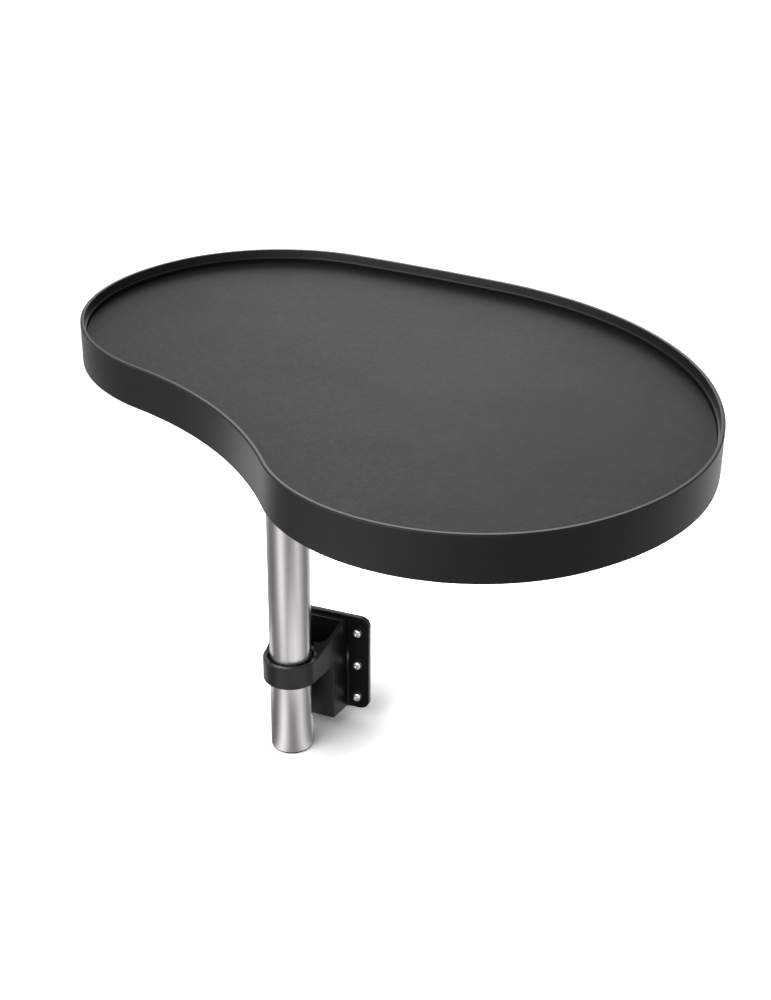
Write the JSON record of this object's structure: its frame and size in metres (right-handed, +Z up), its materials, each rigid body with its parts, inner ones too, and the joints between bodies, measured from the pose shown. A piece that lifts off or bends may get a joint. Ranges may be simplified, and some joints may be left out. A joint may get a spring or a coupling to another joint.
{
  "type": "hot tub side tray",
  "caption": "Kidney-shaped side tray on a round steel pole that slides in a wall bracket's collar, so the tray sets in height and swivels.",
  "frame": {"origin": "middle of the wall screw pattern, on the back face of the bracket plate", "axes": "+Z up along the pole, +Y into the wall that the plate is screwed to, pole on the -Y side, +X to the right seen from in front"},
  "size_m": [0.5641, 0.5092, 0.434],
  "materials": {
    "tray_moulding": "satin walls, fine leather grain on the floor",
    "socket_moulding": "fine moulded grain",
    "pole_steel": "brushed round the tube",
    "plug_plastic": "natural, satin",
    "cap_plastic": "satin",
    "bracket_moulding": "satin, fine moulded grain",
    "bush_plastic": "satin",
    "hidden_screw_steel": "bright",
    "wall_screw_steel": "bright"
  },
  "bodies": {
    "bracket": {"bracket": "bracket_moulding", "collar_bush": "bush_plastic", "collar_screw": "hidden_screw_steel", "wall_screw_1": "wall_screw_steel", "wall_screw_2": "wall_screw_steel", "wall_screw_3": "wall_screw_steel", "wall_screw_4": "wall_screw_steel", "wall_screw_5": "wall_screw_steel", "wall_screw_6": "wall_screw_steel"},
    "pole": {"pole": "pole_steel", "swivel_plug": "plug_plastic", "foot_cap": "cap_plastic"},
    "tray": {"tray": "tray_moulding", "tray_socket": "socket_moulding", "socket_screw_1": "hidden_screw_steel", "socket_screw_2": "hidden_screw_steel", "socket_screw_3": "hidden_screw_steel", "socket_screw_4": "hidden_screw_steel", "swivel_screw": "hidden_screw_steel"}
  },
  "joints": [
    {"name": "pole_height", "type": "slide", "parent": "bracket", "child": "pole", "axis": [0, 0, 1], "range_m": [-0.215, 0.055]},
    {"name": "tray_swivel", "type": "hinge", "parent": "pole", "child": "tray", "pos_m": [0, -0.0625, 0.3], "axis": [0, 0, 1], "continuous": true}
  ]
}
